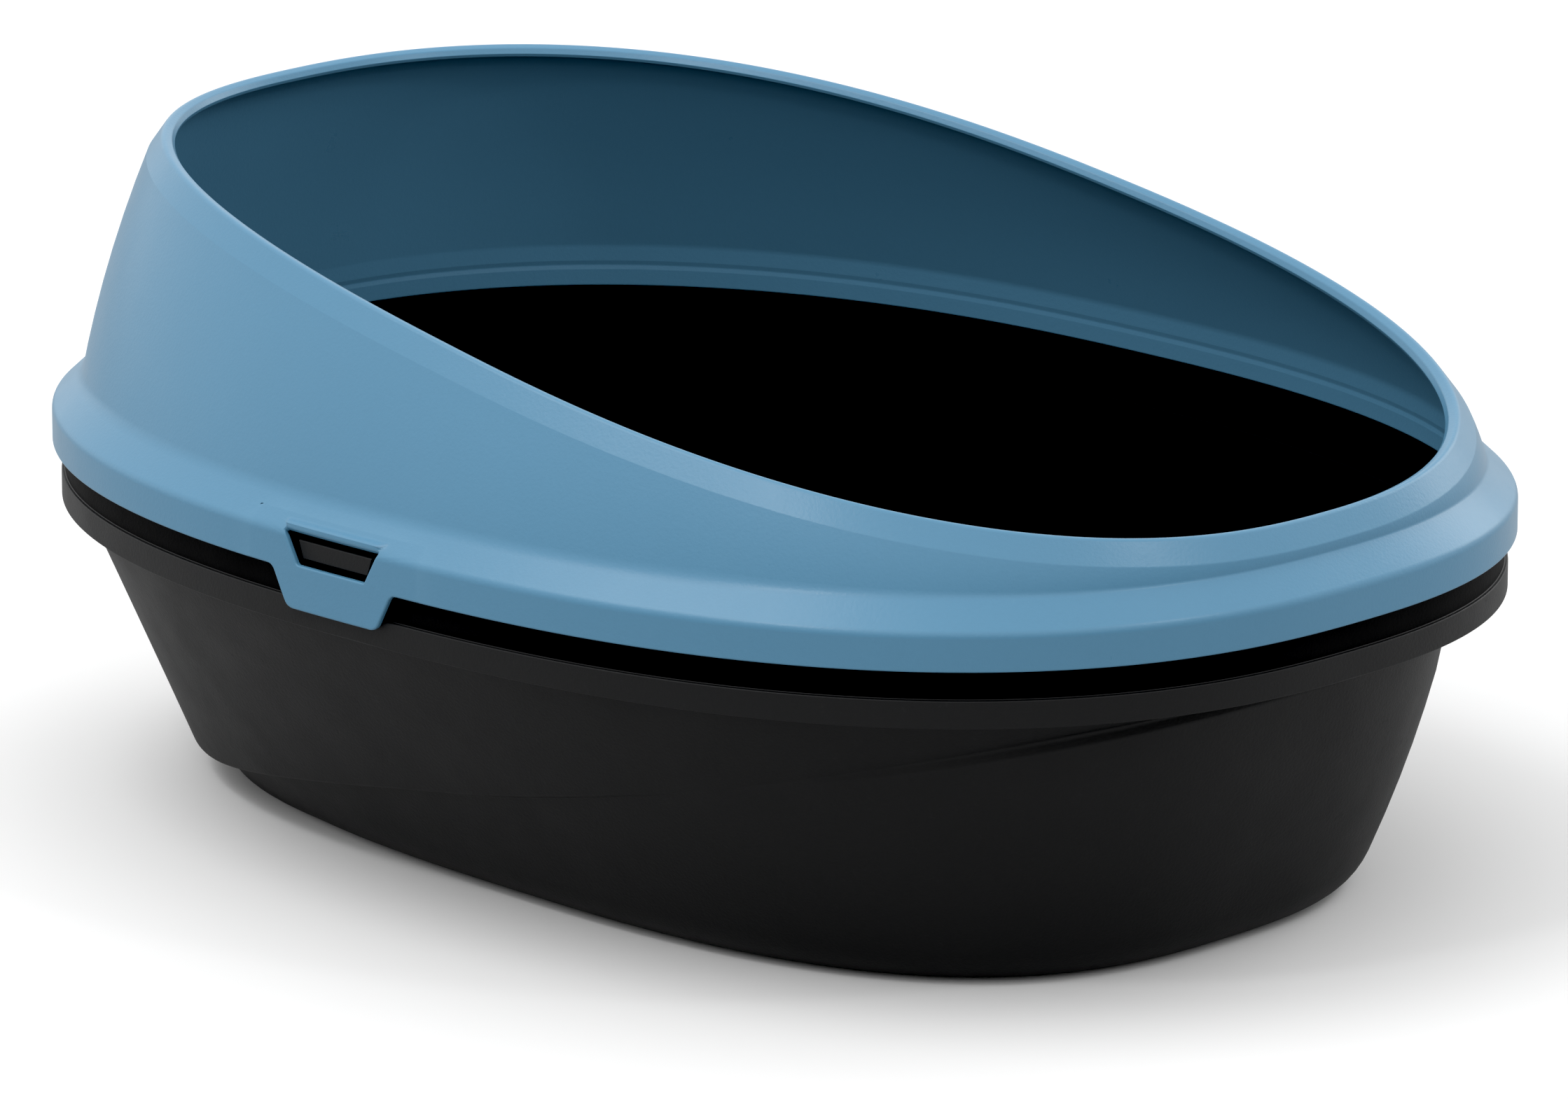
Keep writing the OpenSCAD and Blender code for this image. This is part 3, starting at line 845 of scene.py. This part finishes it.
def plastic(name, values):
    material = bpy.data.materials.new(name)
    material.use_nodes = True
    tree = material.node_tree
    shader = tree.nodes["Principled BSDF"]
    detail = node(tree, "ShaderNodeGroup", (-300, 200), node_tree=surface)
    detail.inputs["Colour"].default_value = (*values["colour"], 1)
    detail.inputs["Worn Colour"].default_value = (*values["worn"], 1)
    detail.inputs["Drift"].default_value = values["drift"]
    detail.inputs["Roughness"].default_value = values["roughness"]
    detail.inputs["Roughness Drift"].default_value = values["roughnessDrift"]
    detail.inputs["Grain Depth"].default_value = values["grainDepth"]
    detail.inputs["Edge Wear"].default_value = values["edgeWear"]
    shader.inputs["Specular IOR Level"].default_value = values["specular"]
    tree.links.new(detail.outputs["Colour"], shader.inputs["Base Color"])
    tree.links.new(detail.outputs["Roughness"], shader.inputs["Roughness"])
    tree.links.new(detail.outputs["Normal"], shader.inputs["Normal"])
    return material


rimPlastic, panPlastic = plastic("rimPlastic", plastics["rim"]), plastic("panPlastic", plastics["pan"])
dressed = [(hood, rimPlastic), (clipRight, rimPlastic), (clipLeft, rimPlastic), (tray, panPlastic)]
for piece, material in dressed:
    piece.data.materials.clear()
    piece.data.materials.append(material)


def inPaintedShade(face):
    # painted shade: the inside of the pan and its rim under the skirt get a darker colour and a weaker shine
    # than the outside, standing in for the shade that falls there
    centre, normal = face.center, face.normal
    across = centre.x * normal.x + centre.y * normal.y
    atBlockHeight = pan["lugLow"] - 0.4 < centre.z / mm < pan["lugTop"] + 0.4
    nearBlock = abs(centre.y / mm - clip["middle"]) < 25
    outsideRim = abs(centre.x) > (oval["width"] - pan["rimIn"] + 0.05) * mm
    if atBlockHeight and nearBlock and outsideRim:
        return False
    if centre.z > (pan["flangeTop"] + 0.3) * mm:
        return True
    bare = centre.z > 0.5 * mm and across < 0 and normal.z > -0.7
    return bool(bare or (normal.z > 0.9 and centre.z < 20 * mm))


# painted shade laid on the inside of the pan and on its rim under the skirt
tray.data.materials.append(plastic("paintedShadeInsideMaterial", plastics["paintedShadeInside"]))
for face in tray.data.polygons:
    face.material_index = 1 if inPaintedShade(face) else 0
print("plastics laid on")


studio = {
    "azimuth": -45.704,      # degrees round the object, 0 looks along +Y
    "elevation": 15.229,
    "distance": 4.811,
    "lens": 262.04,
    "target": (0.00416, -0.02149, 0.14),   # right and up from the middle, and the height of the middle
    # strength of the air's light from behind, and low and high on the viewer's side
    "airBack": 1.05,
    "airNearLow": 0.1,
    "airNearHigh": 1.3,
    "blackLevel": 0.006,     # the darkest and lightest tones the picture keeps
    "whiteLevel": 0.95,
    "floorSeen": 0.84,       # how pale the floor looks, and how pale it is to the light it throws back
    "floorBounce": 0.46,
    "lights": {              # place, size across and power of each
        "keyBack": ((-1.3, 0.8, 2.8), 2.0, 26),
        "sideRight": ((2.4, -0.3, 1.3), 1.4, 10),
        "lampLeft": ((-1.7, -0.2, 2.1), 0.28, 5),
        "lampRight": ((0.5, -1.9, 2.2), 0.28, 4),
    },
}


def makeCamera():
    # looks at the object from its front left corner, a little above
    azimuth, elevation = math.radians(studio["azimuth"]), math.radians(studio["elevation"])
    right = Vector((math.cos(azimuth), math.sin(azimuth), 0))
    level = Vector((math.sin(azimuth), -math.cos(azimuth), 0))
    back = level * math.cos(elevation) + Vector((0, 0, math.sin(elevation)))
    up = back.cross(right)
    shiftRight, shiftUp, height = studio["target"]
    place = Vector((0, 0, height)) + right * shiftRight + up * shiftUp + back * studio["distance"]
    data = bpy.data.cameras.new("viewer")
    data.lens = studio["lens"]
    data.sensor_width = 36
    data.sensor_fit = "HORIZONTAL"
    data.clip_end = 50
    viewer = bpy.data.objects.new("viewer", data)
    bpy.context.scene.collection.objects.link(viewer)
    viewer.matrix_world = Matrix([
        [right[0], up[0], back[0], place[0]],
        [right[1], up[1], back[1], place[1]],
        [right[2], up[2], back[2], place[2]],
        [0, 0, 0, 1],
    ])
    bpy.context.scene.camera = viewer


def setTones():
    # plain tones, with the darkest a touch deeper and the lightest a touch lighter
    view = bpy.context.scene.view_settings
    view.view_transform = "Standard"
    view.use_curve_mapping = True
    view.curve_mapping.black_level = [studio["blackLevel"]] * 3
    view.curve_mapping.white_level = [studio["whiteLevel"]] * 3
    view.curve_mapping.update()


def studioAir():
    # soft light from all round, weaker from the viewer's side and from low down
    air = bpy.data.worlds.new("studioAir")
    bpy.context.scene.world = air
    air.use_nodes = True
    tree = air.node_tree
    direction = node(tree, "ShaderNodeTexCoord", (-900, 0)).outputs["Generated"]
    towards = node(tree, "ShaderNodeVectorMath", (-700, 0), operation="DOT_PRODUCT")
    tree.links.new(direction, towards.inputs[0])
    azimuth = math.radians(studio["azimuth"])
    towards.inputs[1].default_value = (math.sin(azimuth), -math.cos(azimuth), 0)
    fall = node(tree, "ShaderNodeMapRange", (-500, 0), interpolation_type="SMOOTHSTEP")
    fall.inputs["From Min"].default_value = -0.35
    fall.inputs["From Max"].default_value = 0.75
    tree.links.new(towards.outputs["Value"], fall.inputs["Value"])
    height = node(tree, "ShaderNodeSeparateXYZ", (-700, -250))
    tree.links.new(direction, height.inputs[0])
    near = node(tree, "ShaderNodeMapRange", (-500, -250))
    near.inputs["From Max"].default_value = 0.7
    near.inputs["To Min"].default_value = studio["airNearLow"]
    near.inputs["To Max"].default_value = studio["airNearHigh"]
    tree.links.new(height.outputs["Z"], near.inputs["Value"])
    strength = node(tree, "ShaderNodeMix", (-300, 0))
    tree.links.new(fall.outputs[0], strength.inputs["Factor"])
    strength.inputs["A"].default_value = studio["airBack"]
    tree.links.new(near.outputs[0], strength.inputs["B"])
    tree.nodes["Background"].inputs["Color"].default_value = (1, 1, 1, 1)
    tree.links.new(strength.outputs[0], tree.nodes["Background"].inputs["Strength"])


def softLight(name, place, size, power):
    # an area light turned toward the middle of the object
    data = bpy.data.lights.new(name, "AREA")
    data.shape = "DISK"
    data.size = size
    data.energy = power
    light = bpy.data.objects.new(name, data)
    bpy.context.scene.collection.objects.link(light)
    light.location = place
    light.rotation_euler = (Vector((0, 0, 0.12)) - Vector(place)).to_track_quat("-Z", "Y").to_euler()


def paleFloor():
    # plain paper that looks pale but throws back less light than it shows
    deselectAll()
    bpy.ops.mesh.primitive_plane_add(size=14, location=(0, 0, 0))
    floor = bpy.context.object
    floor.name = "studioFloor"
    material = bpy.data.materials.new("studioPaper")
    material.use_nodes = True
    tree = material.node_tree
    shader = tree.nodes["Principled BSDF"]
    seen = node(tree, "ShaderNodeLightPath", (-700, 200)).outputs["Is Camera Ray"]
    tone = node(tree, "ShaderNodeMapRange", (-450, 200))
    tone.inputs["To Min"].default_value = studio["floorBounce"]
    tone.inputs["To Max"].default_value = studio["floorSeen"]
    tree.links.new(seen, tone.inputs["Value"])
    tree.links.new(tone.outputs[0], shader.inputs["Base Color"])
    shader.inputs["Roughness"].default_value = 0.9
    shader.inputs["Specular IOR Level"].default_value = 0.1
    floor.data.materials.append(material)


makeCamera()
setTones()
studioAir()
for name, (place, size, power) in studio["lights"].items():
    softLight(name, place, size, power)
paleFloor()
print("studio set")
